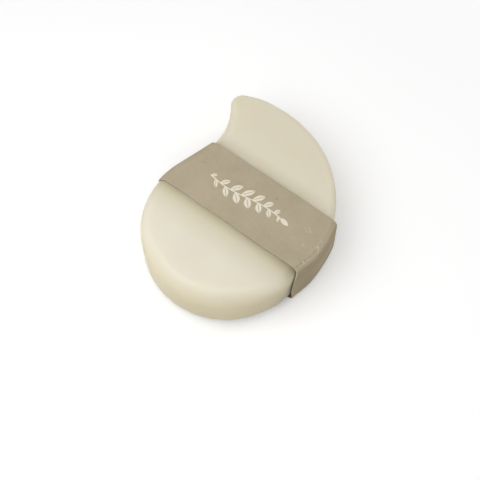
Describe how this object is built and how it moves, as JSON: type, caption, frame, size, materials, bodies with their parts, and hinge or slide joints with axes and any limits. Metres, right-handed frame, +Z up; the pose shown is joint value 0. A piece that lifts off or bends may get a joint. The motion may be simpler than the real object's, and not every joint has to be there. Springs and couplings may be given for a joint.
{
  "type": "bar of soap",
  "caption": "Drop-shaped ivory bar of soap with soft rounded edges, wrapped round its waist by a folded paper band that is glued to itself underneath.",
  "frame": {"origin": "on the resting surface, under the middle of the bounding box", "axes": "+Z up through the bar's thickness, +Y from the round end towards the tip, +X towards the bulging flank and along the band"},
  "size_m": [0.0676, 0.085, 0.0235],
  "materials": {
    "soap": "satin, slightly waxy",
    "band_paper": "uncoated, matte"
  },
  "bodies": {
    "root": {"soap_bar": "soap", "paper_band": "band_paper"}
  },
  "joints": []
}
